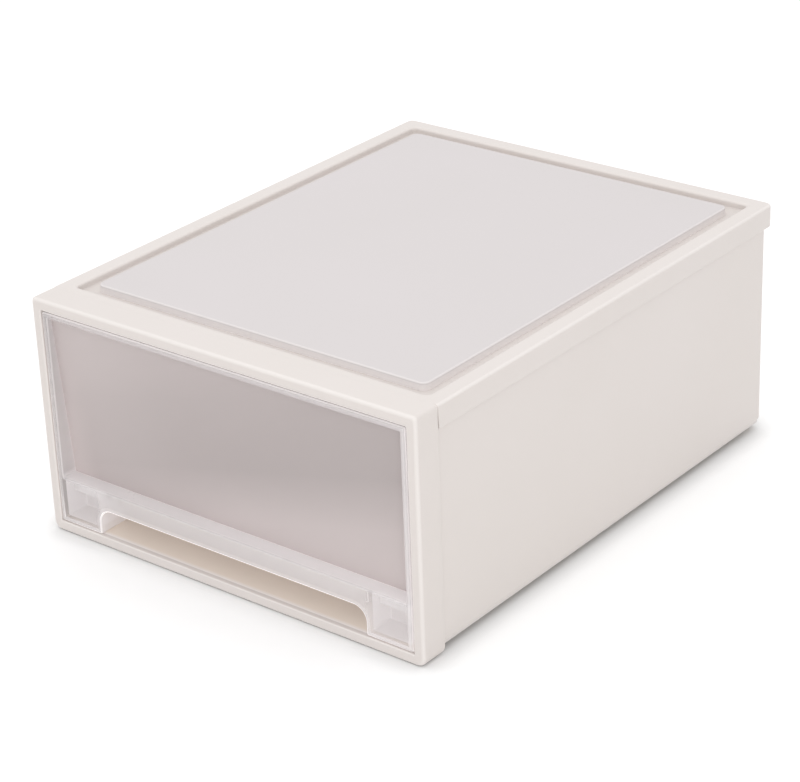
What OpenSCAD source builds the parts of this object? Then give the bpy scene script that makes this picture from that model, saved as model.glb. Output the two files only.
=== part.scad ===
// Shoe storage box: a panelled case with a skirted lid and a pull-out drawer behind a front frame.
// Millimetres. The origin is on the standing surface under the middle of the case, +Z is up and
// the drawer opens towards -Y. Depths named in the modules are counted back from the frame's face.

/* [Case] */
// Overall width
case_w = 260; // [230:1:320]
// Overall depth, front to back
case_d = 330; // [280:1:400]
// Overall height
case_h = 140; // [125:1:200]
// Thickness of the case panels and of the lid
wall_t = 2; // [1.6:0.1:3]
// Height of the base panel above the standing surface
base_lift = 4.2; // [3:0.1:8]
// Radius of the rear upright edges, where the side panels turn round to the back
side_edge_r = 4; // [2:0.1:5]
// How far the base panel's edges stand in from the panels that stand on it
base_in = 1; // [0.5:0.1:1.5]

/* [Front frame] */
// Depth of the frame, front to back
frame_d = 17.6; // [15:0.1:26]
// Width of the frame's face beside the drawer
frame_side = 6.2; // [4.5:0.1:10]
// Height of the frame's face above the drawer
frame_top = 6.4; // [4.5:0.1:10]
// Thickness of the frame's face
frame_face_t = 3; // [2:0.1:5]
// How far the frame and the lid's skirt stand proud of the side panels
skin = 1.3; // [1:0.1:2]
// Radius of the frame's lower corners
frame_foot_r = 5; // [2:0.5:6]
// Radius of the frame's upper corners
frame_head_r = 1.5; // [0.5:0.1:3]

/* [Lid] */
// Height of the lid's skirt
lid_skirt = 13.2; // [8:0.1:20]
// Overhang of the lid behind the back panel
lid_over = 4.5; // [2:0.5:10]
// Radius of the lid's rear corners
lid_corner_r = 4; // [3:0.5:15]
// Slit between the frame and the lid's skirt
lid_slit = 0.7; // [0.3:0.1:2]
// Width of the raised rim at the sides and the back
rim_w = 10.4; // [9:0.1:20]
// Width of the raised rim behind the frame
rim_front = 6; // [4:0.1:20]
// Depth of the recess inside the rim
recess_depth = 4; // [2.5:0.1:6]
// Corner radius of the recess
recess_r = 3; // [1:0.5:8]

/* [Lid panel] */
// How far the panel stands above the rim
panel_rise = 0.5; // [0:0.1:3]
// Width of the stacking groove between the rim and the panel
groove_w = 8; // [4:0.5:20]
// Thickness of the panel's sheet
panel_t = 1.6; // [1.2:0.1:2]
// Thickness of the wall round the panel's edge
panel_wall = 2; // [1.2:0.1:4]
// Corner radius of the panel
panel_r = 4.5; // [2:0.5:10]

/* [Drawer front] */
// Gap beside and above the drawer front
drawer_gap = 0.7; // [0.4:0.1:1.5]
// Gap under the drawer front
drawer_drop = 0.8; // [0.5:0.1:2]
// Set-back of the drawer front behind the frame's face
front_set = 0.4; // [0:0.1:2]
// Width of the clear rim at the sides
front_rim = 3.6; // [2.5:0.1:8]
// Width of the clear rim at the top
front_rim_top = 2.5; // [2:0.1:8]
// Wall thickness of the clear front
front_t = 2.4; // [1.4:0.1:3]
// Radius of the drawer front's lower corners
front_foot_r = 1; // [0.5:0.1:5]
// Radius of the drawer front's upper corners
front_head_r = 1; // [0.5:0.1:3]
// Depth of the window at its top
window_top = 3.8; // [3:0.1:6]
// Depth of the window at the ledge
window_foot = 10.8; // [8:0.1:14]
// Height of the ledge above the drawer front's lower edge
ledge_h = 27; // [23:0.1:40]
// Width of the finger cut-out
pull_w = 186; // [100:1:190]
// Height of the finger cut-out
pull_h = 15.4; // [11:0.1:18]
// Radius of the cut-out's upper corners
pull_r = 8; // [2:0.5:10]
// Depth of the end blocks beside the cut-out, from the frame's face
block_d = 20; // [17:0.5:24]

/* [Drawer bin] */
// Wall thickness of the bin
bin_t = 1.6; // [1.4:0.1:2.5]
// How far the bin's sides stand in from the drawer front's sides
bin_inset = 2.5; // [2:0.1:5]
// Radius of the bin's rear corners
bin_corner_r = 10; // [4:0.5:20]
// Width of the stiffening rim round the bin's top
bin_rim_w = 2; // [1:0.1:2.5]
// Height of that rim
bin_rim_h = 2.2; // [1.2:0.1:5]
// Depth of the finger room under the bin's raised front floor
pull_room = 34; // [26:0.5:50]
// Margin of the bin's front flange inside the drawer front's outline
flange_in = 0.5; // [0.2:0.1:1]

/* [Slides and stops] */
// Running gap between the drawer and what guides it
slide_gap = 0.3; // [0.2:0.1:0.6]
// Width of each runner under the bin
runner_w = 15; // [12:0.5:25]
// Height of the runner's track
runner_h = 2; // [1.2:0.1:4]
// Height of the fence beside the track
fence_h = 8; // [5:0.5:15]
// Gap between the drawer front and the runner's front end
runner_gap = 2; // [1:0.1:6]
// Depth of the block that stops the closed drawer
rear_stop_d = 11; // [7:0.5:16]
// Depth of the opening stops from the frame's face
stop_y = 56; // [45:1:90]
// Length of each opening stop, front to back
stop_d = 10; // [6:0.5:16]
// Width of each opening stop and of the lug that meets it
stop_w = 14; // [8:0.5:24]
// Height of each opening stop
stop_h = 7.5; // [5:0.1:10]
// Distance of each opening stop from the middle
stop_x = 80; // [30:1:84]
// Gap between the bin's rim and the stops
stop_gap = 1; // [0.5:0.1:2]
// Depth of the bin's lugs, front to back
lug_d = 6; // [3:0.5:10]
// Gap between the lugs and the lid
lug_gap = 2.5; // [1:0.1:3]

/* [Feet] */
// Width of each rear foot
foot_w = 34; // [15:1:60]
// Depth of each rear foot
foot_d = 12; // [8:0.5:30]
// Distance of the feet from the base panel's edges
foot_in = 17; // [4:0.5:30]
// Corner radius of the feet
foot_r = 3; // [1:0.5:4]

/* [Hidden] */
$fn = 48;
// Overshoot of a cut past the face that it opens
cut = 1;
front_y = -case_d / 2;
// Case panels
side_out = case_w / 2 - skin;
side_in = side_out - wall_t;
back_out = case_d - lid_over;
back_in = back_out - wall_t;
floor_z = base_lift + wall_t;
roof_z = case_h - wall_t;
// Where the side panels' returns end, and the radius inside their rear edges
return_x = side_out - max(side_edge_r, wall_t);
inner_edge_r = max(0, side_edge_r - wall_t);
base_half = side_out - base_in;
base_y1 = back_out - base_in;
// Lid
recess_z = case_h - recess_depth;
ceiling_z = recess_z - wall_t;
recess_half = case_w / 2 - rim_w;
recess_y0 = frame_d + rim_front;
recess_y1 = case_d - rim_w;
// The back panel ends under the recess where that reaches over it
back_z1 = recess_y1 + wall_t > back_in ? ceiling_z : roof_z;
// Drawer front
front_half = case_w / 2 - frame_side - drawer_gap;
front_z0 = floor_z + drawer_drop;
front_z1 = case_h - frame_top - drawer_gap;
window_half = front_half - front_rim;
window_z1 = front_z1 - front_rim_top;
ledge_z = front_z0 + ledge_h;
pull_z = front_z0 + pull_h;
lean = (window_foot - window_top) / (window_z1 - ledge_z);
step_z = pull_z + front_t;
block_y1 = max(block_d, window_at(front_z0) + front_t + 2);
// Bin and slides
bin_half = front_half - bin_inset;
bin_z0 = floor_z + runner_h + slide_gap;
bin_z1 = ceiling_z - stop_h - stop_gap;
bin_y1 = back_in - rear_stop_d - slide_gap;
runner_y0 = block_y1 + runner_gap;
runner_y1 = back_in - inner_edge_r;

// Depth of the leaning window's outer face at height z
function window_at(z) = window_foot + (ledge_z - z) * lean;

// The bin's side view, drawn in by t on every side but the top
function bin_outline(t, top) = [
    [window_at(top) + t, top],
    [window_at(step_z + t) + t, step_z + t],
    [pull_room + t, step_z + t],
    [pull_room + t, bin_z0 + t],
    [bin_y1 - t, bin_z0 + t],
    [bin_y1 - t, top]
];

// Two corner circles of radius r, centred at height y inside a w wide sheet, and the strip between them
module sheet_end(w, y, r) {
    translate([r - w / 2, y - r]) square([w - 2 * r, 2 * r]);
    for (side = [-1, 1]) translate([side * (w / 2 - r), y]) circle(r);
}

// A w by h sheet on the X axis, its lower corners rounded by r0 and its upper ones by r1
module sheet(w, h, r0, r1) {
    translate([-w / 2, r0]) square([w, h - r0 - r1]);
    if (r0 > 0) sheet_end(w, r0, r0);
    if (r1 > 0) sheet_end(w, h - r1, r1);
}

// Stands an X-Z outline up at depth y and makes it d deep
module stand(y, d) {
    translate([0, front_y + y + d, 0]) rotate([90, 0, 0]) linear_extrude(d) children();
}

// Lays a plan of X and depth at height z and makes it h high
module lay(z, h) {
    translate([0, front_y, z]) linear_extrude(h) children();
}

// Carries a side view of depth and Z across from x0 to x1
module across(x0, x1) {
    translate([x0, front_y, 0]) rotate([90, 0, 90]) linear_extrude(x1 - x0) children();
}

// A block from x0 to x1, y0 to y1 in depth and z0 to z1
module block(x0, x1, y0, y1, z0, z1) {
    translate([x0, front_y + y0, z0]) cube([x1 - x0, y1 - y0, z1 - z0]);
}

// The children once at each side, with the left one mirrored
module both_sides() {
    children();
    mirror([1, 0, 0]) children();
}

module front_frame() color("seashell") difference() {
    stand(0, frame_d) sheet(case_w, case_h, frame_foot_r, frame_head_r);
    block(-side_out, side_out, frame_face_t, frame_d + cut, base_lift, roof_z);
    block(frame_side - case_w / 2, case_w / 2 - frame_side, -cut, frame_d, floor_z, case_h - frame_top);
}

module lid() color("seashell") difference() {
    union() {
        difference() {
            lay(case_h - lid_skirt, lid_skirt) translate([0, frame_d])
                sheet(case_w, case_d - frame_d, 0, lid_corner_r);
            lay(0, roof_z) sheet(2 * side_out, case_d - wall_t, 0, lid_corner_r - skin);
            both_sides() block(side_out, case_w, 0, frame_d + lid_slit, 0, roof_z);
        }
        block(-recess_half - wall_t, recess_half + wall_t, recess_y0 - wall_t, recess_y1 + wall_t,
              ceiling_z, case_h - wall_t / 2);
    }
    lay(recess_z, recess_depth + cut) translate([0, recess_y0])
        sheet(2 * recess_half, recess_y1 - recess_y0, recess_r, recess_r);
}

// The panel's plan, drawn in by t
module panel_plan(t) {
    inset = groove_w + t;
    translate([0, recess_y0 + inset])
        sheet(2 * (recess_half - inset), recess_y1 - recess_y0 - 2 * inset, panel_r, panel_r);
}

module lid_panel() color("lavenderblush") difference() {
    lay(recess_z, recess_depth + panel_rise) panel_plan(0);
    lay(recess_z - cut, recess_depth + panel_rise - panel_t + cut) panel_plan(panel_wall);
}

// A wall that stands on the base panel and turns round the rear edge to meet the back panel
module right_side_panel() color("linen") lay(floor_z, roof_z - floor_z) difference() {
    intersection() {
        sheet(2 * side_out, back_out, 0, side_edge_r);
        translate([return_x, frame_face_t]) square([case_w, case_d]);
    }
    sheet(2 * side_in, back_in, 0, inner_edge_r);
}

module left_side_panel() mirror([1, 0, 0]) right_side_panel();

module back_panel() color("linen") block(-return_x, return_x, back_in, back_out, floor_z, back_z1);

module base_panel() color("antiquewhite") lay(base_lift, wall_t) translate([0, frame_face_t])
    sheet(2 * base_half, base_y1 - frame_face_t, 0, max(0, side_edge_r - base_in));

module right_runner() color("ivory") {
    block(side_in - runner_w, side_in, runner_y0, runner_y1, floor_z, floor_z + runner_h);
    block(bin_half + slide_gap, side_in, runner_y0, runner_y1, floor_z, floor_z + runner_h + fence_h);
    block(side_in - runner_w, side_in, bin_y1 + slide_gap, runner_y1, floor_z, floor_z + runner_h + fence_h);
}

module left_runner() mirror([1, 0, 0]) right_runner();

module opening_stops() color("linen") both_sides()
    block(stop_x - stop_w / 2, stop_x + stop_w / 2, stop_y, stop_y + stop_d, ceiling_z - stop_h, ceiling_z);

module rear_feet() color("gainsboro") both_sides()
    lay(0, base_lift) translate([base_half - foot_in - foot_w / 2, base_y1 - foot_in - foot_d])
        sheet(foot_w, foot_d, foot_r, foot_r);

// The finger cut-out through the whole depth of the drawer front
module pull() {
    stand(-cut, block_y1 + 2 * cut) translate([0, front_z0 - cut]) sheet(pull_w, pull_h + cut, 0, pull_r);
}

// Everything from depth y0 to the window's plane less t, between two heights and two sides
module before_window(x0, x1, y0, z0, z1, t) {
    across(x0, x1) polygon([[y0, z0], [window_at(z0) - t, z0], [window_at(z1) - t, z1], [y0, z1]]);
}

// The hollow of the right end block, open at the top behind the window, where the bin's raised floor covers it
module pocket() {
    x0 = pull_w / 2 + front_t;
    x1 = front_half - front_t;
    y0 = front_set + front_t;
    y1 = block_y1 - front_t;
    z0 = front_z0 + front_t;
    before_window(x0, x1, y0, z0, ledge_z - front_t, front_t);
    block(x0, x1, y0, y1, z0, pull_z);
    block(x0, x1, window_at(step_z), y1, z0, step_z + cut);
}

module drawer_front() color("aliceblue", 0.6) difference() {
    intersection() {
        stand(front_set, block_y1) translate([0, front_z0])
            sheet(2 * front_half, front_z1 - front_z0, front_foot_r, front_head_r);
        union() {
            before_window(-front_half, front_half, front_set, front_z0, front_z1, 0);
            both_sides() block(pull_w / 2 - pull_r, front_half, front_set, block_y1, front_z0, step_z);
        }
    }
    block(-window_half, window_half, -cut, case_d, ledge_z, window_z1);
    pull();
    before_window(-pull_w / 2, pull_w / 2, front_set + front_t, step_z, ledge_z - front_t, -cut);
    both_sides() pocket();
}

module bin_plan(t) sheet(2 * (bin_half - t), bin_y1 - t, 0, bin_corner_r - t);

module drawer_bin() color("lavender", 0.7) {
    flange_half = front_half - flange_in;
    flange_z1 = front_z1 - flange_in;
    rim_z0 = bin_z1 - bin_rim_h;
    rim_y0 = window_at(rim_z0) + bin_t / 2;
    difference() {
        intersection() {
            across(-bin_half, bin_half) polygon(bin_outline(0, bin_z1));
            lay(0, case_h) bin_plan(0);
        }
        intersection() {
            across(bin_t - bin_half, bin_half - bin_t) polygon(bin_outline(bin_t, bin_z1 + cut));
            lay(0, case_h) bin_plan(bin_t);
        }
    }
    difference() {
        before_window(-flange_half, flange_half, 0, step_z, flange_z1, -bin_t);
        before_window(-case_w, case_w, -cut, 0, case_h, 0);
    }
    difference() {
        lay(rim_z0, bin_rim_h) translate([0, rim_y0])
            sheet(2 * (bin_half + bin_rim_w), bin_y1 + bin_rim_w - rim_y0, 0, bin_corner_r + bin_rim_w);
        lay(0, case_h) bin_plan(bin_t);
    }
    both_sides() block(stop_x - stop_w / 2, stop_x + stop_w / 2, bin_y1 - lug_d, bin_y1,
                       rim_z0, ceiling_z - lug_gap);
}

// How far the drawer opens before its lugs reach the stops
echo(travel = bin_y1 - lug_d - stop_y - stop_d - slide_gap);

front_frame();
lid();
lid_panel();
left_side_panel();
right_side_panel();
back_panel();
base_panel();
left_runner();
right_runner();
opening_stops();
rear_feet();
drawer_front();
drawer_bin();
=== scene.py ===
import math

import bpy
import numpy as np
from mathutils import Matrix, Vector


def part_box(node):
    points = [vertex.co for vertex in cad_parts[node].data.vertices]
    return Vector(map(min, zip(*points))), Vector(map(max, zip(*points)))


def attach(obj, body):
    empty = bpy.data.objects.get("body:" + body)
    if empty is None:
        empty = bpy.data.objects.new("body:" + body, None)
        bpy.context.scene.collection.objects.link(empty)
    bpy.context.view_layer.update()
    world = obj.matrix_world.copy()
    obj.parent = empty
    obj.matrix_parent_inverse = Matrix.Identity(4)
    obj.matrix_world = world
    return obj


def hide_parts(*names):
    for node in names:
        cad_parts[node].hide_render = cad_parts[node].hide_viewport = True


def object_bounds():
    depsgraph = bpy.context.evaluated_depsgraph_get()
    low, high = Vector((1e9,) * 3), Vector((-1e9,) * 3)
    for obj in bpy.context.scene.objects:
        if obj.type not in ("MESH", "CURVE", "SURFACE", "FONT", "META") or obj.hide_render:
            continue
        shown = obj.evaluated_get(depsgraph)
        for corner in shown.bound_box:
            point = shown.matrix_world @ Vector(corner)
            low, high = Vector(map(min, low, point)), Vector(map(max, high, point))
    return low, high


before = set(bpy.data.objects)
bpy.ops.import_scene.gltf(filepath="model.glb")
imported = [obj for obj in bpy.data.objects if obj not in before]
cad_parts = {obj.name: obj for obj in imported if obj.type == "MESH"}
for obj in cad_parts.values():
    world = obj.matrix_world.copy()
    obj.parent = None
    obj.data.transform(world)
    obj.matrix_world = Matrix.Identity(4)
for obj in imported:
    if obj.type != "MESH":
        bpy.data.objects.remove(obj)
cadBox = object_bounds()
mm = 0.001
touch = 0.01  # millimetres: places closer than this are one place
frontY = cadBox[0].y  # depths below are millimetres counted back from here
print("frame loaded:", len(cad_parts), "nodes")


# millimetre corners of a CAD node, with depth counted from the frame's face
def nodeBox(node):
    low, high = (np.array(corner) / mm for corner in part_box(node))
    shift = np.array([0, frontY / mm, 0])
    return low - shift, high - shift


# ring of points: rounded rectangle, four quarter circles joined by straight runs, one row per station
def roundedLoops(stations, per=9):
    left, right, low, high, rLow, rHigh = (stations[:, k, None] for k in range(6))
    turn = np.linspace(0, np.pi / 2, per)
    c, s = np.cos(turn), np.sin(turn)
    across = [right - rLow + rLow * s, right - rHigh + rHigh * c,
              left + rHigh - rHigh * s, left + rLow - rLow * c]
    along = [low + rLow - rLow * c, high - rHigh + rHigh * s,
             high - rHigh + rHigh * c, low + rLow - rLow * s]
    return np.concatenate(across, 1), np.concatenate(along, 1)


inward = np.array([1, -1, 1, -1, -1, -1])  # draws a rounded rectangle in by one all round
capShare = 0.95  # an end cap is drawn in by this share of its corner radius
tightHold = 0.1  # room left beside a small fillet


# walks from corner to corner and swaps each corner for a quarter circle of its radius,
# with a station just past each end of the arc so that the flats stay flat; each arc also gets a
# painted-highlight weight that peaks mid-arc
def roundedRun(corners, radii, steps=5, hold=0.25):
    corners = np.asarray(corners, float)
    theta = np.linspace(0, np.pi / 2, steps + 1)[:, None]
    rows, highlight = [], []
    for i, radius in enumerate(radii):
        here = corners[i]
        if radius == 0:
            rows.append(here[None])
            highlight.append(np.zeros(1))
            continue
        before = corners[i - 1] - here
        after = corners[(i + 1) % len(corners)] - here
        before = before / np.abs(before).max()
        after = after / np.abs(after).max()
        arc = here + radius * (before * (1 - np.sin(theta)) + after * (1 - np.cos(theta)))
        rows += [(here + before * (radius + hold))[None], arc, (here + after * (radius + hold))[None]]
        highlight += [np.zeros(1), np.sin(2 * theta[:, 0]), np.zeros(1)]
    return np.vstack(rows), np.concatenate(highlight)


# quads between neighbouring rings, with the rings closed round and, where wrapped, the last joined to the first
def ringFaces(rows, cols, wrap):
    i = np.arange(rows if wrap else rows - 1)[:, None]
    j = np.arange(cols)[None]
    nextRow, nextCol = (i + 1) % rows, (j + 1) % cols
    quads = np.stack([i * cols + j, i * cols + nextCol, nextRow * cols + nextCol, nextRow * cols + j], -1)
    return quads.reshape(-1, 4)


# six times the volume that quads enclose, from the fan of each face about the origin
def signedVolume(points, quads):
    a, b, c, d = (points[quads[:, k]] for k in range(4))
    return np.einsum("ij,ij->", a, np.cross(b, c)) + np.einsum("ij,ij->", a, np.cross(c, d))


# point marks that the materials read: painted highlights on edges, extra cover of see-through walls, painted
# light (a glow) held in pockets and flanks, and painted shade
markNames = ("edge", "cover", "pocket", "shade")


# one closed shell: rings of points (station, place, xyz), capped at both ends unless it wraps
def shell(rings, wrap=False, void=False, **marks):
    rows, cols = rings.shape[:2]
    points = rings.reshape(-1, 3)
    quads = ringFaces(rows, cols, wrap)
    faces = quads.tolist()
    middle = points - points.mean(0)
    if not wrap:
        faces += [list(range(cols))[::-1], list(range((rows - 1) * cols, rows * cols))]
        fan = np.arange(1, cols - 1)
        start = np.stack([0 * fan, fan + 1, fan, 0 * fan], 1)
        end = np.stack([0 * fan, fan, fan + 1, 0 * fan], 1) + (rows - 1) * cols
        quads = np.vstack([quads, start, end])
    if (signedVolume(middle, quads) < 0) != void:
        faces = [face[::-1] for face in faces]
    marked = [np.broadcast_to(np.reshape(marks.get(name, np.zeros(rows)), (rows, -1)), (rows, cols)).ravel()
              for name in markNames]
    return points, faces, marked


# joins shells into one mesh with its marks, hangs it on its body and hides the node it stands in for
def buildPiece(name, shells, body, node, material, sharp=32):
    points, faces, marks, start = [], [], [], 0
    for shellPoints, shellFaces, shellMarks in shells:
        points.append(shellPoints)
        faces += [[start + k for k in face] for face in shellFaces]
        marks.append(shellMarks)
        start += len(shellPoints)
    points = np.vstack(points) * mm + np.array([0, frontY, 0])
    mesh = bpy.data.meshes.new(name)
    mesh.from_pydata(points.tolist(), [], faces)
    for markName, values in zip(markNames, np.concatenate(marks, 1)):
        mesh.attributes.new(markName, "FLOAT", "POINT").data.foreach_set("value", values.astype(np.float32))
    mesh.polygons.foreach_set("use_smooth", np.ones(len(mesh.polygons), bool))
    mesh.set_sharp_from_angle(angle=math.radians(sharp))
    mesh.update()
    mesh.materials.append(material)
    piece = bpy.data.objects.new(name, mesh)
    bpy.context.scene.collection.objects.link(piece)
    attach(piece, body)
    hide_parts(node)
    return piece


# stacks plan rings along Z
def layRings(stations, per=9):
    across, depth = roundedLoops(stations, per)
    return np.stack([across, depth, np.broadcast_to(stations[:, 6:7], across.shape)], -1)


# stacks upright rings along the depth
def standRings(stations, per=9):
    across, height = roundedLoops(stations, per)
    return np.stack([across, np.broadcast_to(stations[:, 6:7], across.shape), height], -1)


# one socket of a node tree; arithmetic on it adds Math nodes
class Value:
    def __init__(self, tree, socket=None):
        self.tree = tree
        self.socket = socket

    # any node: its type, its settings, then the values or links of its sockets by name or number
    def add(self, kind, settings=None, sockets=None, out=0):
        made = self.tree.nodes.new(kind)
        for key, value in (settings or {}).items():
            if key == "stops":
                ramp = made.color_ramp.elements
                while len(ramp) < len(value):
                    ramp.new(0.5)
                for element, (place, colour) in zip(ramp, value):
                    element.position = place
                    element.color = colour
            else:
                setattr(made, key, value)
        for key, value in (sockets or {}).items():
            if isinstance(value, Value):
                self.tree.links.new(value.socket, made.inputs[key])
            else:
                made.inputs[key].default_value = value
        return Value(self.tree, made.outputs[out])

    def maths(self, operation, first, second):
        return self.add("ShaderNodeMath", {"operation": operation}, {0: first, 1: second})

    def __add__(self, other):
        return self.maths("ADD", self, other)

    def __radd__(self, other):
        return self.maths("ADD", other, self)

    def __sub__(self, other):
        return self.maths("SUBTRACT", self, other)

    def __rsub__(self, other):
        return self.maths("SUBTRACT", other, self)

    def __mul__(self, other):
        return self.maths("MULTIPLY", self, other)

    def __rmul__(self, other):
        return self.maths("MULTIPLY", other, self)

    def link(self, target):
        self.tree.links.new(self.socket, target)

    # one axis of a vector
    def part(self, axis):
        return self.add("ShaderNodeSeparateXYZ", None, {0: self}, out=axis)

    # a colour made stronger or weaker
    def scaled(self, amount):
        return self.add("ShaderNodeVectorMath", {"operation": "SCALE"}, {0: self, "Scale": amount})

    # smooth passage from the first result to the second between two inputs
    def eased(self, start, end, first, second):
        return self.add("ShaderNodeMapRange", {"interpolation_type": "SMOOTHSTEP"},
                        {"Value": self, "From Min": start, "From Max": end, "To Min": first, "To Max": second})

    # one of the marks that buildPiece writes on the points
    def mark(self, name):
        return self.add("ShaderNodeAttribute", {"attribute_name": name}, out="Fac")


# linear colour from the 0 to 255 numbers that a picture shows
def shade(red, green, blue):
    share = np.array([red, green, blue]) / 255
    linear = np.where(share <= 0.04045, share / 12.92, ((share + 0.055) / 1.055) ** 2.4)
    return (*linear.tolist(), 1.0)


def newMaterial(name):
    material = bpy.data.materials.new(name)
    material.use_nodes = True
    tree = material.node_tree
    tree.nodes.clear()
    principled = tree.nodes.new("ShaderNodeBsdfPrincipled")
    output = tree.nodes.new("ShaderNodeOutputMaterial")
    tree.links.new(principled.outputs[0], output.inputs["Surface"])
    return material, Value(tree), principled.inputs


grainDepth = 0.2 * mm  # height of the mould grain


# moulded plastic: two near tints drifting into each other, a painted highlight on marked edges and painted
# shade where marked, a fine mould grain as bump and a gloss that wanders a little
def mouldedBody(name, look):
    material, root, inputs = newMaterial(name)
    place = root.add("ShaderNodeTexCoord", out="Object")
    drift = root.add("ShaderNodeTexNoise", None, {"Vector": place, "Scale": look["driftScale"], "Detail": 3.0})
    grain = root.add("ShaderNodeTexNoise", None, {"Vector": place, "Scale": look["grainScale"], "Detail": 2.0})
    edge = root.mark("edge")
    tint = root.add("ShaderNodeMix", {"data_type": "RGBA"},
                    {0: drift, 6: look["colour"], 7: look["otherColour"]}, out=2)
    paintedTint = root.add("ShaderNodeMix", {"data_type": "RGBA"},
                    {0: edge * look["edgeShare"], 6: tint, 7: look["edgeColour"]}, out=2)
    if "shadeShare" in look:
        paintedTint = paintedTint.scaled(1 - root.mark("shade") * look["shadeShare"])
    paintedTint.link(inputs["Base Color"])
    wander = (drift - 0.5) * look["roughnessDrift"] + (grain - 0.5) * look["roughnessGrain"]
    (look["roughness"] + wander).link(inputs["Roughness"])
    bump = root.add("ShaderNodeBump", None,
                    {"Height": grain, "Strength": look["grainStrength"], "Distance": grainDepth})
    bump.link(inputs["Normal"])
    for socket, value in look.get("fixed", {}).items():
        inputs[socket].default_value = value
    return material, root, inputs, {"place": place, "drift": drift, "edge": edge, "tint": paintedTint}


def mouldedPlastic(name, look):
    material, root, inputs, parts = mouldedBody(name, look)
    # painted light: a glow on faces that look up, standing for light that reaches the top through the clear
    # drawer front
    if "glow" in look:  # light that reaches its top through the clear drawer front
        up = root.maths("MAXIMUM", root.add("ShaderNodeNewGeometry", out="Normal").part("Z"), 0.0)
        parts["tint"].scaled(up * look["glow"]).link(inputs["Emission Color"])
        inputs["Emission Strength"].default_value = 1.0
    return material


# clear plastic: thin cover that thickens on edges, and painted light, a glow standing for light piped to its
# right, to its edges and into its pockets, where walls that face right are lighter; its pockets also carry a
# little painted shade
def clearMoulding(name, look):
    material, root, inputs, parts = mouldedBody(name, look)
    edge, pocket = parts["edge"], root.mark("pocket")
    drifting = (parts["drift"] - 0.5) * look["alphaDrift"]
    cover = look["alpha"] + edge * look["edgeAlpha"] + root.mark("cover") + drifting
    cover.link(inputs["Alpha"])
    right = root.maths("MAXIMUM", root.add("ShaderNodeNewGeometry", out="Normal").part("X"), 0.0)
    held = pocket * (look["pocketGlow"] + right * look["wallGlow"])
    across = parts["place"].part("X") * look["glowAcross"] * (1 - pocket)
    light = root.maths("MAXIMUM", look["glow"] + across + edge * look["edgeGlow"] + held, 0.0)
    parts["tint"].scaled(light).link(inputs["Emission Color"])
    inputs["Emission Strength"].default_value = 1.0
    return material


# frosted plastic: milky cover with a broad soft band of painted shade slanting across it
def frostedMoulding(name, look):
    material, root, inputs, parts = mouldedBody(name, look)
    cover = look["alpha"] + parts["edge"] * look["edgeAlpha"] + (parts["drift"] - 0.5) * look["alphaDrift"]
    cover.link(inputs["Alpha"])
    across, high = parts["place"].part("X"), parts["place"].part("Z")
    slant = high * look["bandHigh"] - across * look["bandAcross"]
    shadeBand = root.add("ShaderNodeValToRGB", {"stops": look["band"]}, {"Fac": slant})
    parts["tint"].scaled(shadeBand).link(inputs["Base Color"])
    # painted light, a glow standing for light through the window from the case: low on the right, along the
    # left, and in the left corner
    low = high.eased(*look["low"], look["lowGlow"], 0.0) * across.eased(*look["lowAcross"], 0.0, 1.0)
    left = across.eased(*look["left"], look["leftGlow"], 0.0)
    left = left * high.eased(*look["leftHigh"], 1.0, look["leftTop"])
    corner = across.eased(*look["corner"], look["cornerGlow"], 0.0)
    corner = corner * high.eased(*look["cornerHigh"], 1.0, 0.0)
    parts["tint"].scaled(low + left + corner).link(inputs["Emission Color"])
    inputs["Emission Strength"].default_value = 1.0
    return material


# in each look the edge colour and share give a painted highlight on marked edges, the shade share painted shade
# where marked, and the glows are painted light
caseLook = {
    "colour": shade(229, 222, 219), "otherColour": shade(225, 218, 213), "edgeColour": shade(248, 243, 240),
    "edgeShare": 0.5, "shadeShare": 0.3, "driftScale": 9.0, "grainScale": 1500.0, "grainStrength": 0.05,
    "roughness": 0.38, "roughnessDrift": 0.12, "roughnessGrain": 0.06, "fixed": {"IOR": 1.49},
}
panelLook = {
    "colour": shade(217, 211, 212), "otherColour": shade(213, 208, 207), "edgeColour": shade(247, 242, 241),
    "edgeShare": 1.0, "driftScale": 7.0, "grainScale": 2600.0, "grainStrength": 0.12,
    "roughness": 0.52, "roughnessDrift": 0.1, "roughnessGrain": 0.06, "fixed": {"IOR": 1.49},
}
baseLook = {
    "colour": shade(222, 211, 200), "otherColour": shade(217, 206, 194), "edgeColour": shade(226, 220, 217),
    "edgeShare": 1.0, "driftScale": 9.0, "grainScale": 1500.0, "grainStrength": 0.06,
    "roughness": 0.42, "roughnessDrift": 0.12, "roughnessGrain": 0.06, "fixed": {"IOR": 1.49}, "glow": 0.24,
}
runnerLook = {
    "colour": shade(228, 222, 215), "otherColour": shade(223, 217, 209), "edgeColour": shade(240, 236, 230),
    "edgeShare": 0.4, "driftScale": 30.0, "grainScale": 900.0, "grainStrength": 0.04,
    "roughness": 0.3, "roughnessDrift": 0.1, "roughnessGrain": 0.06, "fixed": {"IOR": 1.5},
}
clearLook = {
    "colour": shade(243, 239, 239), "otherColour": shade(239, 235, 236), "edgeColour": shade(253, 249, 248),
    "edgeShare": 0.9, "driftScale": 20.0, "grainScale": 700.0, "grainStrength": 0.02,
    "roughness": 0.28, "roughnessDrift": 0.03, "roughnessGrain": 0.01, "fixed": {"IOR": 1.49},
    "alpha": 0.35, "edgeAlpha": 0.5, "alphaDrift": 0.04, "shadeShare": 0.06,
    "glow": 0.05, "glowAcross": 0.3, "edgeGlow": 0.3, "pocketGlow": 0.05, "wallGlow": 0.1,
}
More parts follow.
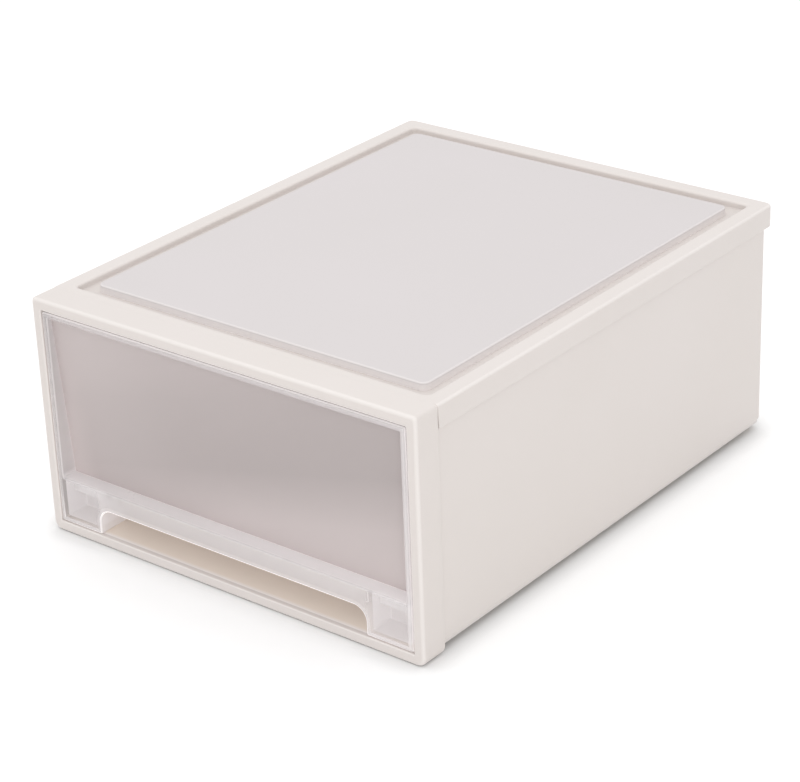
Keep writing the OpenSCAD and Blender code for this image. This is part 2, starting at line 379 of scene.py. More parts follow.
frostedLook = {
    "colour": shade(219, 208, 207), "otherColour": shade(213, 203, 202), "edgeColour": shade(240, 236, 236),
    "edgeShare": 0.6, "driftScale": 8.0, "grainScale": 2200.0, "grainStrength": 0.15,
    "roughness": 0.5, "roughnessDrift": 0.08, "roughnessGrain": 0.06, "fixed": {"IOR": 1.49},
    "alpha": 0.8, "edgeAlpha": 0.15, "alphaDrift": 0.05,
    "bandHigh": 6.25, "bandAcross": 1.5625,
    "band": [(place, (amount,) * 3 + (1.0,)) for place, amount in
             ((0.1, 1.02), (0.25, 1.0), (0.44, 0.8), (0.55, 0.81), (0.7, 0.84), (0.8, 0.9), (0.9, 0.94))],
    "low": (0.035, 0.08), "lowAcross": (-0.08, 0.0), "lowGlow": 0.035,
    "left": (-0.125, -0.02), "leftHigh": (0.09, 0.13), "leftTop": 0.65, "leftGlow": 0.085,
    "corner": (-0.122, -0.1), "cornerHigh": (0.03, 0.13), "cornerGlow": 0.165,
}
casePlastic = mouldedPlastic("case_plastic", caseLook)
panelPlastic = mouldedPlastic("panel_plastic", panelLook)
basePlastic = mouldedPlastic("base_plastic", baseLook)
runnerPlastic = mouldedPlastic("runner_plastic", runnerLook)
clearPlastic = clearMoulding("clear_plastic", clearLook)
frostedPlastic = frostedMoulding("frosted_plastic", frostedLook)
print("materials made")

# front frame: a ring whose section runs round the face, the opening and the collar's hollow back
frameShape = {"side": 6.2, "top": 6.4, "floor": 6.2, "face": 3.0, "skin": 1.3, "base": 4.2, "roof": 2.0,
              "footR": 5.0, "headR": 2.2, "openR": 0.8, "outerFillet": 2.0, "innerFillet": 0.8,
              "rearFillet": 0.6, "openFillet": 0.2, "rearHold": 1.0, "rearBand": 2.0, "footLine": 0.7}


def frontFrame(shape):
    half, depth, height = nodeBox("front_frame")[1]
    outer = [-half, half, 0, height, shape["footR"], shape["headR"]]
    heldHalf = half - shape["rearHold"]
    drawnIn = [-heldHalf, heldHalf, 0, height, shape["footR"], shape["headR"]]
    openHalf = half - shape["side"]
    opening = [-openHalf, openHalf, shape["floor"], height - shape["top"], shape["openR"], shape["openR"]]
    hollowHalf = half - shape["skin"]
    hollow = [-hollowHalf, hollowHalf, shape["base"], height - shape["roof"], shape["openR"], shape["openR"]]
    corners = [outer + [depth], outer + [0], opening + [0], opening + [shape["face"]],
               hollow + [shape["face"]], hollow + [depth], drawnIn + [depth]]
    radii = [shape["rearFillet"], shape["outerFillet"], shape["innerFillet"], shape["openFillet"], 0, 0, 0]
    stations, highlight = roundedRun(corners, radii)
    rings = standRings(stations)
    # painted highlight on the rear edge at the sides only, since no seam shows on top
    atSide = np.abs(rings[..., 0]) > half - shape["rearFillet"]
    highlight = np.where(atSide | (stations[:, 6:7] < depth - shape["rearBand"]), highlight[:, None], 0)
    # painted contact shadow: the rows nearest the ground are darkened
    foot = rings[..., 2] < shape["footLine"]  # dark line where it meets the ground
    return shell(rings, wrap=True, edge=np.where(foot, 0, highlight), shade=foot)


buildPiece("front_frame_shell", [frontFrame(frameShape)], "case", "front_frame", casePlastic)

# lid: plan rings from the pan's underside out to the skirt, over the rim and down into the recess
lidShape = {"wall": 2.0, "skin": 1.3, "slit": 0.7, "rim": 10.4, "rimFront": 6.0, "recess": 4.0,
            "recessR": 3.0, "cornerR": 4.0, "innerR": 2.7, "frontR": 0.5, "innerFrontR": 0.3,
            "topFillet": 1.6, "footFillet": 0.4, "lipFillet": 1.6, "floorFillet": 0.6, "hold": 3.0, "near": 0.1,
            "wallTop": 1.0, "wallShade": 0.2, "liftAt": 0.975}


def lidShell(shape):
    low, high = nodeBox("lid")
    half, front, rear, foot, top = high[0], low[1], high[1], low[2], high[2]
    inHalf = half - shape["skin"]
    inRear = rear - shape["wall"]
    inFront = front + shape["skin"]
    roof = top - shape["wall"]
    floor = top - shape["recess"]
    recess = [shape["rim"] - half, half - shape["rim"], front + shape["rimFront"], rear - shape["rim"],
              shape["recessR"], shape["recessR"]]
    pan = [recess[0] - shape["wall"], recess[1] + shape["wall"],
           recess[2] - shape["wall"], recess[3] + shape["wall"], shape["recessR"], shape["recessR"]]
    inner = [-inHalf, inHalf, inFront, inRear, shape["innerFrontR"], shape["innerR"]]
    outer = [-half, half, front, rear, shape["frontR"], shape["cornerR"]]
    hold, near = shape["hold"], shape["near"]
    drawnIn = [hold - half, half - hold, front, rear - hold, shape["frontR"], shape["cornerR"] - hold]
    grown = np.array(recess) - hold * inward
    inside = np.array(recess) + inward
    corners = [pan + [floor - shape["wall"]], pan + [roof], inner + [roof], inner + [foot], outer + [foot],
               outer + [top], drawnIn + [top], [*grown, top], recess + [top], recess + [floor],
               [*inside, floor]]
    radii = [0, 0, 0, 0, shape["footFillet"], shape["topFillet"], 0, 0,
             shape["lipFillet"], shape["floorFillet"], 0]
    stations, highlight = roundedRun(corners, radii)
    # the outer edges carry painted highlights and the recess lip none, and the recess wall is a little darker
    # with painted shade
    halves, heights = stations[:, 1], stations[:, 6]
    outside = halves > half - shape["rim"] + hold
    atWall = (heights < top - shape["wallTop"]) & (heights > floor - near)
    inRecess = atWall & (halves < half - shape["rim"] + near)
    rings = layRings(stations)
    # the skirt starts behind a slit, which ends under the top's fillet
    besideSlit = (np.abs(rings[..., 0]) > inHalf - touch) & (rings[..., 2] < roof - touch)
    slitEnd = np.maximum(rings[..., 1], front + shape["slit"])
    rings[..., 1] = np.where(besideSlit, slitEnd, rings[..., 1])
    # two more points on the front run lift its lower edge to the roof, because the lid has no skirt there
    ends = rings[:, [-1, 0]]
    lifted = ends.copy()
    lifted[..., 0] *= shape["liftAt"]
    lifted[..., 2] = np.maximum(lifted[..., 2], roof)
    lifted[0, :, 2] = rings[0, 0, 2]  # the first ring stays level
    return shell(np.concatenate([rings, lifted], 1), edge=highlight * outside,
                 shade=inRecess * shape["wallShade"])


buildPiece("lid_shell", [lidShell(lidShape)], "case", "lid", casePlastic)

# lid panel: plan rings from the hollow underside round the wall and over the soft top edge
panelShape = {"sheet": 1.6, "wall": 2.0, "cornerR": 4.5, "topFillet": 1.0, "hold": 3.0, "edgeShine": 0.5,
              "wallShine": (1.0, 0.5)}


def lidPanel(shape):
    low, high = nodeBox("lid_panel")
    outline = np.array([low[0], high[0], low[1], high[1], shape["cornerR"], shape["cornerR"]])
    hollow = outline + inward * shape["wall"]
    under = high[2] - shape["sheet"]
    corners = [[*hollow, under], [*hollow, low[2]], [*outline, low[2]], [*outline, high[2]],
               [*(outline + inward * shape["hold"]), high[2]]]
    stations, highlight = roundedRun(corners, [0, 0, 0, shape["topFillet"], 0])
    # painted highlight along the top fillet, and painted light on the wall, brighter towards its foot
    highlight *= shape["edgeShine"]
    highlight[2:4] = shape["wallShine"]  # the wall is lighter towards its foot
    return shell(layRings(stations), edge=highlight)


buildPiece("lid_panel_shell", [lidPanel(panelShape)], "case", "lid_panel", panelPlastic)

# flat panels: rings stacked through the sheet's thickness, with soft edges
sheetShape = {"backR": 0.6, "backFillet": 0.4, "baseR": 3.0, "baseFillet": 0.5, "innerFillet": 0.2}


# outline, radius, the two faces along the stacking axis and the fillet at each face
def flatSheet(outline, radius, faces, fillets, rings, rimEdgeMark=0):
    ring = np.array([*outline, radius, radius])
    cap = ring + inward * capShare * radius
    corners = [[*cap, faces[0]], [*ring, faces[0]], [*ring, faces[1]], [*cap, faces[1]]]
    stations, highlight = roundedRun(corners, [0, *fillets, 0], hold=tightHold)
    # painted highlight on the fillets, with at least the given rim share of the edge colour all round the rim
    highlight[1:-1] = np.maximum(highlight[1:-1], rimEdgeMark)
    return shell(rings(stations), edge=highlight)


# side panels: plan rings up a wall that turns round the rear edge, both arcs about one centre
sideShape = {"wall": 2.0, "edgeR": 4.0, "footFillet": 1.4, "hold": 0.3, "filletPoints": 6, "turnPoints": 9}


def sidePanel(shape, node, side):
    low, high = nodeBox(node)
    outside = max(abs(low[0]), abs(high[0]))
    foot = shape["footFillet"]
    theta = np.linspace(0, np.pi / 2, shape["filletPoints"])
    inset = np.concatenate([foot * (1 - np.sin(theta)), [0, 0]])[:, None]
    rise = np.concatenate([foot * (1 - np.cos(theta)), [foot + shape["hold"], high[2] - low[2]]])[:, None]
    # painted highlight along the foot's fillet
    highlight = np.concatenate([np.sin(2 * theta), [0, 0]])
    turn = np.linspace(0, np.pi / 2, shape["turnPoints"])
    outerR = shape["edgeR"] - inset
    innerR = shape["edgeR"] - shape["wall"] + 0 * inset
    ends = 0 * inset + low[1]
    middle = outside - shape["edgeR"]
    x = np.concatenate([outside - inset, middle + outerR * np.cos(turn), middle + innerR * np.cos(turn[::-1]),
                        outside - shape["wall"] + 0 * inset], 1)
    back = high[1] - shape["edgeR"]
    y = np.concatenate([ends, back + outerR * np.sin(turn), back + innerR * np.sin(turn[::-1]), ends], 1)
    rings = np.stack([side * x, y, np.broadcast_to(low[2] + rise, x.shape)], -1)
    onOuter = np.arange(x.shape[1]) < 1 + shape["turnPoints"]
    return shell(rings, edge=highlight[:, None] * onOuter)


for side, node in ((-1, "left_side_panel"), (1, "right_side_panel")):
    buildPiece(node + "_shell", [sidePanel(sideShape, node, side)], "case", node, casePlastic)

low, high = nodeBox("back_panel")
sheet = flatSheet([low[0], high[0], low[2], high[2]], sheetShape["backR"], (low[1], high[1]),
                  (sheetShape["innerFillet"], sheetShape["backFillet"]), standRings)
buildPiece("back_panel_shell", [sheet], "case", "back_panel", casePlastic)

low, high = nodeBox("base_panel")
sheet = flatSheet([low[0], high[0], low[1], high[1]], sheetShape["baseR"], (low[2], high[2]),
                  (sheetShape["baseFillet"], sheetShape["innerFillet"]), layRings, rimEdgeMark=1)
buildPiece("base_panel_shell", [sheet], "case", "base_panel", basePlastic)
print("case made")

# clear drawer front: an outline with the finger cut-out let into its lower edge, round a leaning window;
# beside the cut-out it reaches further back, as two hollow end blocks
clearShape = {"set": 0.4, "rim": 3.6, "rimTop": 2.5, "ledge": 27.0, "windowTop": 3.8, "windowFoot": 10.8,
              "footR": 1.0, "headR": 1.0, "windowR": 1.0, "pullHalf": 93.0, "pullTop": 15.4, "pullR": 8.0,
              "pullFootR": 1.0, "leastR": 0.05, "lipHold": 0.4, "sillRun": (0.7, 0.95), "jambFoot": 3.0,
              "blockD": 20.0, "wall": 2.4, "wallEnd": 0.6, "edgeFillet": 0.9, "ledgeFillet": 0.9,
              "rearFillet": 0.5, "rearGap": 0.1, "pocketR": 1.0, "pocketFillet": 0.5, "pocketFront": 0.3,
              "channelDepth": 10.4, "channelR": 0.8, "channelCap": 0.75, "channelFillets": (0.6, 0.3)}
# cover that the see-through walls gain by place, and the strengths of painted highlights on the flank, pocket
# and channel edges
clearMarks = {"pull": 0.3, "ledge": 0.48, "band": 0.2, "block": -0.15, "rim": 0.2, "pocketFront": -0.32,
              "pocketWall": 0.45, "channel": -0.16, "flankEdge": 0.1, "pocketEdge": 0.15, "channelEdge": 0.6}
# points in each run of the outline's right half
arcPoints = {"lip": 1, "pull": 9, "pullFoot": 4, "foot": 6, "step": 1, "head": 5}
# strengths by run, as a value or a first and a last one: the right half, then the left where it differs
# the shine runs are painted highlights and the light runs painted light, a glow; the rest give depth and cover
clearRuns = {
    "deep": ((0, 1, 1, 1, 0, 0),),
    "outerShine": ((1.3, (1.3, 0.5), 0.6, (0.7, 0.2), 0.15, 0.3), (1.3, (1.3, 0.3), (0.4, 0.8), 1.0, 1.2, 0.5)),
    "windowShine": ((0, 0, 0, (0, 0.2), 0.3, 0.3), (0, 0, 0, (0, 0.3), 0.35, 0.3)),
    "rearShine": ((1.0, 1.0, 0.8, 0.4, 0.4, 0.4), (1.0, 1.0, 0.8, 0.6, 0.8, 0.5)),
    "bandShine": ((0, 0, 0, 0, 0, 0), (0, 0, 0, (0, 0.6), 0.15, 0)),
    "flankLight": ((0.8, 0.8, 0.8, (0.8, 2.6), 2.6, 1.6), (0.8, 0.8, 0.8, 0, 0, 0.3)),
    "jambLight": ((0, 0, 0, 0, 0, 0), (0, 0, 0, 0, 0.2, 0.2)),
    "pull": ((1, 1, 1, 0, 0, 0),),
    "ledge": ((1, 1, 1, 1, 0.3, 0),),
    "band": ((0.3, 0.3, (0.5, 1), (1, 0.6), 0, 0),),
    "block": ((0, (0, 1), 1, (1, 0), 0, 0), (0, (0, 1), 1, 1, 1, 0.7)),
    "rim": ((0, 0, 0, (0, 0.6), 1, 1), (0, 0, 0, 0, 0, 0)),
}
low, high = nodeBox("drawer_front")
clearBox = {"half": high[0], "low": low[2], "high": high[2]}
clearBox["ledge"] = low[2] + clearShape["ledge"]
clearBox["pull"] = low[2] + clearShape["pullTop"]
clearBox["step"] = clearBox["pull"] + clearShape["wall"]
clearBox["windowHigh"] = high[2] - clearShape["rimTop"]
clearBox["windowHalf"] = high[0] - clearShape["rim"]
lean = (clearShape["windowFoot"] - clearShape["windowTop"]) / (clearBox["windowHigh"] - clearBox["ledge"])


# depth of the leaning window's outer face at height z
def windowAt(z):
    return clearShape["windowFoot"] + (clearBox["ledge"] - z) * lean


# quarter circle about a fixed centre, one row per radius, turning from the first angle to the second
def arcRows(x, z, radius, first, second, count):
    angle = np.radians(np.linspace(first, second, count))
    return x + radius[:, None] * np.cos(angle), z + radius[:, None] * np.sin(angle)


# right half from the lower middle to the upper middle, then the same mirrored back down
def mirrored(parts):
    x = np.concatenate([part[0] for part in parts], 1)
    z = np.concatenate([part[1] for part in parts], 1)
    return np.concatenate([x, -x[:, ::-1]], 1), np.concatenate([z, z[:, ::-1]], 1)


# spreads the strengths of the runs over the outline's points, up the right half and back down the left
def byRun(right, left=None):
    def spread(values):
        ends = [np.broadcast_to(value, 2) for value in values]
        return np.concatenate([np.linspace(*pair, count) for pair, count in zip(ends, arcPoints.values())])

    return np.concatenate([spread(right), spread(left or right)[::-1]])


# outline of the clear front drawn in by inset: outer corners shrink and the cut-out grows
def clearOutline(shape, box, inset):
    # quarter circle that keeps the inset of both sides which it joins, from the corner towards right and up
    def corner(x, z, right, up, radius, first, last, count):
        r = np.maximum(radius - inset, shape["leastR"])
        middleX, middleZ = x - right * (inset + r), z - up * (inset + r)
        return arcRows(middleX[:, None], middleZ[:, None], r, first, last, count)

    def point(x, z):
        return x[:, None], z[:, None]

    pullX, pullZ = shape["pullHalf"] - shape["pullR"], box["pull"] - shape["pullR"]
    return mirrored([
        point(0 * inset + pullX - shape["lipHold"], box["pull"] + inset),
        arcRows(pullX, pullZ, shape["pullR"] + inset, 90, 0, arcPoints["pull"]),
        corner(shape["pullHalf"], box["low"], -1, -1, shape["pullFootR"], 180, 270, arcPoints["pullFoot"]),
        corner(box["half"], box["low"], 1, -1, shape["footR"], 270, 360, arcPoints["foot"]),
        point(box["half"] - inset, 0 * inset + box["step"]),
        corner(box["half"], box["high"], 1, 1, shape["headR"], 0, 90, arcPoints["head"]),
    ])


# outline of the window grown by grow, with as many points as the outer outline
def windowOutline(shape, box, grow):
    half, r = box["windowHalf"], shape["windowR"]
    sillPoints = arcPoints["lip"] + arcPoints["pull"] + arcPoints["pullFoot"]
    run = np.linspace(*shape["sillRun"], sillPoints) * half
    x = np.broadcast_to(run, (len(grow), len(run)))
    z = np.broadcast_to((box["ledge"] - grow)[:, None], x.shape)
    return mirrored([
        (x, z),
        arcRows(half - r, box["ledge"] + r, r + grow, 270, 360, arcPoints["foot"]),
        ((half + grow)[:, None], 0 * grow[:, None] + box["ledge"] + shape["jambFoot"]),
        arcRows(half - r, box["windowHigh"] - r, r + grow, 0, 90, arcPoints["head"]),
    ])


# quarter fillet as (drawn in, back) pairs from the flank to the face, with a station past each end, and a
# painted-highlight weight that peaks mid-fillet
def filletSteps(radius, steps=5, hold=0.25):
    theta = np.linspace(0, np.pi / 2, steps + 1)
    inset = np.concatenate([[0], radius * (1 - np.cos(theta)), [radius + hold]])
    back = np.concatenate([[radius + hold], radius * (1 - np.sin(theta)), [0]])
    return inset, back, np.concatenate([[0], np.sin(2 * theta), [0]])


# rings from the face's outer edge over the window's edge to the leaning back and out to the flank
def clearSolid(shape, box, marks):
    inset, back, highlight = filletSteps(shape["edgeFillet"])
    grow, ledgeBack, ledgeHighlight = filletSteps(shape["ledgeFillet"])
    tight, tightBack, tightHighlight = filletSteps(shape["rearFillet"])
    rearGap, rows = shape["rearGap"], len(highlight)
    runs = {name: byRun(*halves) for name, halves in clearRuns.items()}
    deep = runs["deep"] > 0
    # the face has two more rings where the walls behind it end
    bandInset = np.append(inset, [shape["wall"], shape["wall"] + shape["wallEnd"]])
    bandBack, bandHighlight = np.append(back, [0, 0]), np.append(highlight, [0, 0])
    sill = len(bandInset)
    x0, z0 = clearOutline(shape, box, bandInset)
    x1, z1 = windowOutline(shape, box, grow[::-1])
    x2, z2 = windowOutline(shape, box, tight)
    x3, z3 = clearOutline(shape, box, inset[::-1])
    y0 = np.broadcast_to(shape["set"] + bandBack[:, None], x0.shape)
    y1 = np.broadcast_to(shape["set"] + ledgeBack[::-1, None], x1.shape)
    y2 = windowAt(z2) - rearGap - tightBack[:, None]
    y3 = np.where(deep, shape["blockD"], windowAt(z3) - rearGap) - back[::-1, None]
    # on the way down the back, the end blocks step back under the bin's raised floor
    share = np.array([[1 / 3], [2 / 3]])
    xs = np.where(deep, clearOutline(shape, box, np.zeros(1))[0], x2[-1] + share * (x3[0] - x2[-1]))
    zs = np.where(deep, box["step"], z2[-1] + share * (z3[0] - z2[-1]))
    stepBack = np.array([[windowAt(box["step"]) - rearGap], [shape["blockD"]]])
    ys = np.where(deep, stepBack, windowAt(zs) - rearGap)
    rings = np.concatenate([np.stack(part, -1) for part in
                            ((x0, y0, z0), (x1, y1, z1), (x2, y2, z2), (xs, ys, zs), (x3, y3, z3))])
    # how strongly the painted highlights on the edges shine
    edge = np.concatenate([bandHighlight[:, None] * runs["outerShine"], ledgeHighlight[::-1, None] * runs["windowShine"],
                           tightHighlight[:, None] * runs["rearShine"], 0 * xs,
                           np.broadcast_to(highlight[::-1, None] * marks["flankEdge"], x3.shape)])
    edge[rows] = runs["bandShine"]
    # flanks: the cut-out's walls and the right side hold painted light, a glow, and so does the left jamb of
    # the window
    flank = np.zeros((len(rings), 1))
    flank[:rows - 1] = flank[1 - rows:] = 1
    held = flank * runs["flankLight"]
    held[sill + 1:sill + 2 * rows - 1] += runs["jambLight"]
    # cover: the cut-out's walls, the ledge, the lower edges and the right rim are milkier,
    # and the end blocks' faces clearer
    cover = flank * runs["pull"] * marks["pull"]
    ledgeRise = np.concatenate([np.linspace(0, 1, rows) ** 2, np.ones(rows - 1)])[:, None]
    cover[sill:sill + 2 * rows - 1] += ledgeRise * runs["ledge"] * marks["ledge"]
    cover[rows - 1:rows + 1] += runs["band"] * marks["band"]
    cover[rows + 1:sill + 1] += runs["block"] * marks["block"]
    cover[rows - 1:sill + 2] += runs["rim"] * marks["rim"]
    return shell(rings, wrap=True, edge=edge, cover=cover, pocket=held)


# hollow of an end block from the front wall back, lower where it runs under the bin's raised floor
def clearPocket(shape, box, marks, side):
    wall, r = shape["wall"], shape["pocketR"]
    ends = sorted((side * (shape["pullHalf"] + wall), side * (box["half"] - wall)))
    foot, high = box["low"] + wall, box["ledge"] - wall
    front, rear = shape["set"] + wall, shape["blockD"] - wall
    tall = np.array([*ends, foot, high, r, r])
    short = np.array([*ends, foot, box["pull"], r, r])
    step = inward * capShare * r
    corners = [[*(tall + step), front], [*tall, front], [*tall, windowAt(high) - wall],
               [*short, windowAt(box["pull"]) - wall], [*short, rear], [*(short + step), rear]]
    radii = [0, shape["pocketFillet"], 0, 0, shape["pocketFillet"], 0]
    stations, highlight = roundedRun(corners, radii, hold=tightHold)
    # painted shade over the whole hollow, painted light (a glow) on its walls behind the front, and painted
    # highlights on its fillets
    ahead = stations[:, 6] < front + shape["pocketFront"]
    return shell(standRings(stations), void=True, edge=highlight * marks["pocketEdge"], shade=np.ones(len(highlight)),
                 cover=np.where(ahead, marks["pocketFront"], marks["pocketWall"]), pocket=~ahead * 1.0)


# channel behind the lip, between the end blocks
def clearChannel(shape, box, marks):
    ring = np.array([-shape["pullHalf"], shape["pullHalf"], box["step"], box["ledge"] - shape["wall"],
                     shape["channelR"], shape["channelR"]])
    step = inward * shape["channelCap"]
    front, rear = shape["set"] + shape["wall"], shape["channelDepth"]
    corners = [[*(ring + step), front], [*ring, front], [*ring, rear], [*(ring + step), rear]]
    stations, highlight = roundedRun(corners, [0, *shape["channelFillets"], 0], hold=tightHold)
    # painted highlights on the channel's fillets
    return shell(standRings(stations), void=True, edge=highlight * marks["channelEdge"],
                 cover=np.full(len(highlight), marks["channel"]))


clearShells = [clearSolid(clearShape, clearBox, clearMarks), clearChannel(clearShape, clearBox, clearMarks)]
clearShells += [clearPocket(clearShape, clearBox, clearMarks, side) for side in (-1, 1)]
buildPiece("drawer_front_shell", clearShells, "drawer", "drawer_front", clearPlastic)

# frosted bin: plan rings up the outside, over the rim and down the inside;
# the front wall leans and stands higher
binShape = {"wall": 1.6, "inset": 2.5, "rearR": 10.0, "rimW": 2.0, "rimH": 2.2, "room": 34.0, "lip": 2.0,
            "draft": 0.5, "flangeDown": 0.5, "top": 125.5, "capIn": 6.0, "footIn": 2.0, "footTurn": 0.6,
            "floorTurn": 1.2, "rimTurn": 0.4, "edgeTurn": 0.3, "lugW": 14.0, "lugX": 80.0, "lugD": 6.0,
            "lugTop": 131.5, "lugR": 0.8, "lugSink": 0.6, "lugFillets": (0.2, 0.5)}
# points of a front corner: reach of the flange, drawing in, depth in walls, and share of the front wall's lift
flangeShape = {"reach": (0.97, 1, 1, 0, 0), "drawnIn": (0.6, 0, 0, 0, 0), "back": (0, 0.15, 1, 1.15, 5),
               "lift": (1, 1, 1, 1, 0)}


# plan rings of the bin, one for each station of half width, front, rear, corner radius, flange, height and
# lift of the front wall; each front corner is a small flange, and the left half mirrors the right
def binRings(stations, wall, per=9):
    half, front, rear, rearR, lip, height, lift = (stations[:, k, None] for k in range(7))
    turn = np.linspace(0, np.pi / 2, per)
    reach, drawnIn, back, raised = (np.array(flangeShape[key], float) for key in
                                    ("reach", "drawnIn", "back", "lift"))
    x = np.concatenate([half + lip * reach - drawnIn, half - rearR + rearR * np.cos(turn)], 1)
    y = np.concatenate([front + back * wall, rear - rearR + rearR * np.sin(turn)], 1)
    z = height + np.concatenate([lift * raised, 0 * rearR + 0 * turn], 1)
    right = np.stack([x, y, z], -1)
    return np.concatenate([right, right[:, ::-1] * [-1, 1, 1]], 1)


def frostedBin(shape):
    low, high = nodeBox("drawer_bin")
    half, rear, rearR = clearBox["half"] - shape["inset"], high[1] - shape["rimW"], shape["rearR"]
    foot, step, top, room = low[2], clearBox["step"], shape["top"], shape["room"]
    lift = clearBox["high"] - shape["flangeDown"] - top
    under, head = top - shape["rimH"], windowAt(top + lift)
    t, rimW, rimTurn, edgeTurn = (shape[key] for key in ("wall", "rimW", "rimTurn", "edgeTurn"))

    # one station, drawn in from the outside of the wall; its corner follows unless a radius is given
    def row(drawn, front, flange, height, raised=0.0, radius=None):
        corner = rearR - drawn if radius is None else radius
        return [half - drawn, front, rear - drawn, corner, flange, height, raised]

    capIn, footIn, footTurn = (shape[key] for key in ("capIn", "footIn", "footTurn"))
    inside = t + shape["floorTurn"]
    rows = [
        row(capIn, room + capIn, 0, foot),
        row(footIn, room + footIn, 0, foot),
        row(footTurn, room + footTurn, 0, foot + footTurn, radius=rearR),
        row(0, room, 0, foot + footIn),
        row(0, room, 0, step - shape["draft"]),
        row(0, windowAt(step), shape["lip"], step),
        row(0, windowAt(under), shape["lip"], under),
        row(-rimW, windowAt(under), 0, under + touch, edgeTurn),
        row(-rimW, head, 0, top - rimTurn, lift),
        row(rimTurn - rimW, head + edgeTurn, 0, top, lift),
        row(t - edgeTurn, head + t - edgeTurn, 0, top, lift, radius=rearR - t),
        row(t, head + t, 0, top - rimTurn, lift),
        row(t, windowAt(step + t) + t, 0, step + t),
        row(t, room + t, 0, step + t - shape["draft"]),
        row(t, room + t, 0, foot + inside),
        row(inside, room + inside, 0, foot + t),
        row(t + capIn, room + t + capIn, 0, foot + t),
    ]
    tub = shell(binRings(np.array(rows, float), t))
    shells = [tub]
    for side in (-1, 1):
        middle = side * shape["lugX"]
        outline = [middle - shape["lugW"] / 2, middle + shape["lugW"] / 2, rear - shape["lugD"], rear]
        shells.append(flatSheet(outline, shape["lugR"], (top - shape["lugSink"], shape["lugTop"]),
                                shape["lugFillets"], layRings))
    return shells


buildPiece("drawer_bin_shell", frostedBin(binShape), "drawer", "drawer_bin", frostedPlastic)
print("drawer made")

# pieces that stay as they were built, with welded and softened edges
keptNodes = {"left_runner": runnerPlastic, "right_runner": runnerPlastic, "opening_stops": runnerPlastic,
             "rear_feet": casePlastic}
keptShape = {"soften": 0.4, "segments": 2}
for node, material in keptNodes.items():
    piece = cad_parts[node]
    piece.data.materials.clear()
    piece.data.materials.append(material)
    weld = piece.modifiers.new("weld", "WELD")
    weld.merge_threshold = touch * mm
    soften = piece.modifiers.new("soften", "BEVEL")
    soften.width = keptShape["soften"] * mm
    soften.segments = keptShape["segments"]
    soften.limit_method = "ANGLE"
print("kept nodes dressed")

# floor: plain pale, white to the eye, still taking the object's shadow
stageLook = {"floorHalf": 8.0, "floorColour": shade(244, 243, 242), "catch": 0.78, "glow": 0.3,
             "contact": 0.014, "world": 0.82}


def paleFloor(look):
    ends = [-look["floorHalf"], look["floorHalf"]]
    x, y = np.meshgrid(ends, ends)
    points = np.stack([x, y, 0 * x], -1).reshape(-1, 3)
    mesh = bpy.data.meshes.new("floor")
    mesh.from_pydata(points.tolist(), [], [[0, 1, 3, 2]])
    floor = bpy.data.objects.new("floor", mesh)
    bpy.context.scene.collection.objects.link(floor)
    material = bpy.data.materials.new("pale_floor")
    material.use_nodes = True
    tree = material.node_tree
    tree.nodes.clear()
    root = Value(tree)
    ray = {name: root.add("ShaderNodeLightPath", out=name) for name in
           ("Is Camera Ray", "Is Glossy Ray", "Is Transmission Ray")}
    seen = root.maths("MINIMUM", ray["Is Camera Ray"] + ray["Is Glossy Ray"] + ray["Is Transmission Ray"], 1.0)
    plain = root.add("ShaderNodeBsdfDiffuse", None, {"Color": look["floorColour"]})
    catch = root.add("ShaderNodeBsdfDiffuse", None, {"Color": (look["catch"],) * 3 + (1.0,)})
    skyView = root.add("ShaderNodeAmbientOcclusion", None, {"Distance": look["contact"]}, out="AO")
    glow = root.add("ShaderNodeEmission", None, {"Strength": skyView * skyView * look["glow"]})
    white = root.add("ShaderNodeAddShader", None, {0: catch, 1: glow})
    mixed = root.add("ShaderNodeMixShader", None, {0: seen, 1: plain, 2: white})
    output = tree.nodes.new("ShaderNodeOutputMaterial")
    mixed.link(output.inputs["Surface"])
    mesh.materials.append(material)
    return floor


paleFloor(stageLook)

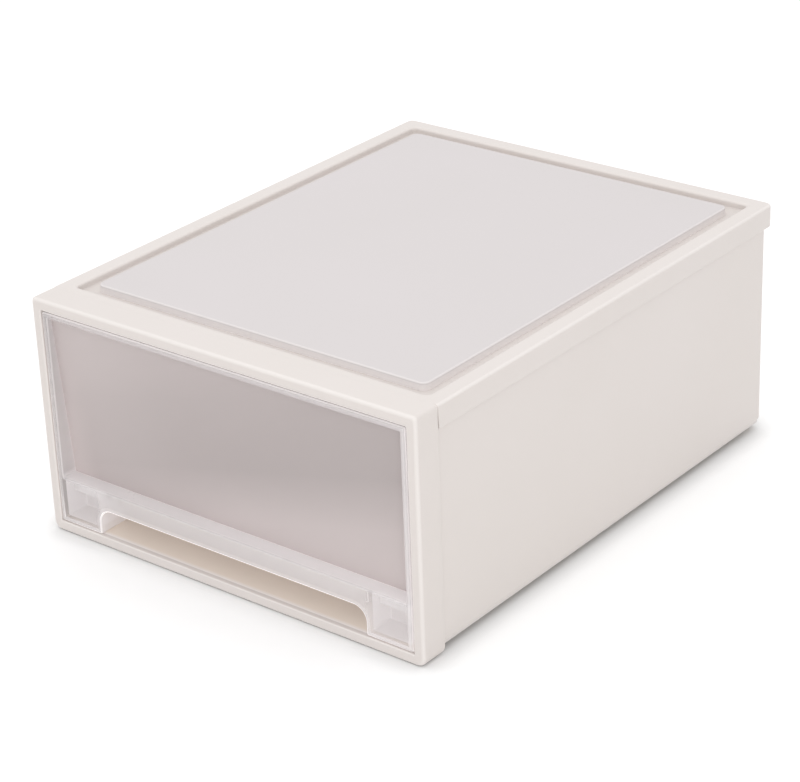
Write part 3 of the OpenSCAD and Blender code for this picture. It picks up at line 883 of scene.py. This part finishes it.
world = bpy.data.worlds.new("studio")
bpy.context.scene.world = world
world.use_nodes = True
world.node_tree.nodes.clear()
sky = Value(world.node_tree)
path = {name: sky.add("ShaderNodeLightPath", out=name) for name in ("Is Camera Ray", "Is Transmission Ray")}
seen = sky.maths("MINIMUM", path["Is Camera Ray"] + path["Is Transmission Ray"], 1.0)
ambient = sky.add("ShaderNodeBackground", None, {"Color": (1, 1, 1, 1), "Strength": stageLook["world"]})
white = sky.add("ShaderNodeBackground", None, {"Color": (1, 1, 1, 1), "Strength": 1.0})
mixed = sky.add("ShaderNodeMixShader", None, {0: seen, 1: ambient, 2: white})
worldOut = world.node_tree.nodes.new("ShaderNodeOutputWorld")
mixed.link(worldOut.inputs["Surface"])

# one broad lamp overhead and a weaker one from the front right
lamps = {"overhead": {"place": (-0.15, 0.1, 1.7), "aim": (0, 0, 0), "size": 1.8, "watts": 8.0},
         "fill": {"place": (1.0, -1.5, 0.9), "aim": (0, 0, 0.05), "size": 1.2, "watts": 5.4}}
for name, lamp in lamps.items():
    data = bpy.data.lights.new(name, "AREA")
    data.size = lamp["size"]
    data.energy = lamp["watts"]
    obj = bpy.data.objects.new(name, data)
    obj.location = lamp["place"]
    away = Vector(lamp["place"]) - Vector(lamp["aim"])
    obj.rotation_mode = "QUATERNION"
    obj.rotation_quaternion = away.to_track_quat("Z", "Y")
    bpy.context.scene.collection.objects.link(obj)

# camera: long lens from the front right, tipped a little as in the photograph
cameraLook = {"azimuth": 39.14, "elevation": 25.72, "roll": -2.252, "place": (0.81725, -1.02014, 0.68323),
              "lens": 115.83, "sensor": 36.0}


def photoCamera(look):
    az, el, roll = (math.radians(look[key]) for key in ("azimuth", "elevation", "roll"))
    back = Vector((math.sin(az) * math.cos(el), -math.cos(az) * math.cos(el), math.sin(el)))
    right = Vector((math.cos(az), math.sin(az), 0))
    up = back.cross(right)
    turned = right * math.cos(roll) + up * math.sin(roll)
    tipped = up * math.cos(roll) - right * math.sin(roll)
    data = bpy.data.cameras.new("photo_camera")
    data.lens = look["lens"]
    data.sensor_width = look["sensor"]
    camera = bpy.data.objects.new("photo_camera", data)
    turn = Matrix((turned, tipped, back)).transposed().to_4x4()
    camera.matrix_world = Matrix.Translation(look["place"]) @ turn
    bpy.context.scene.collection.objects.link(camera)
    bpy.context.scene.camera = camera


photoCamera(cameraLook)
bpy.context.scene.view_settings.view_transform = "Standard"
print("stage, lamps and camera set")
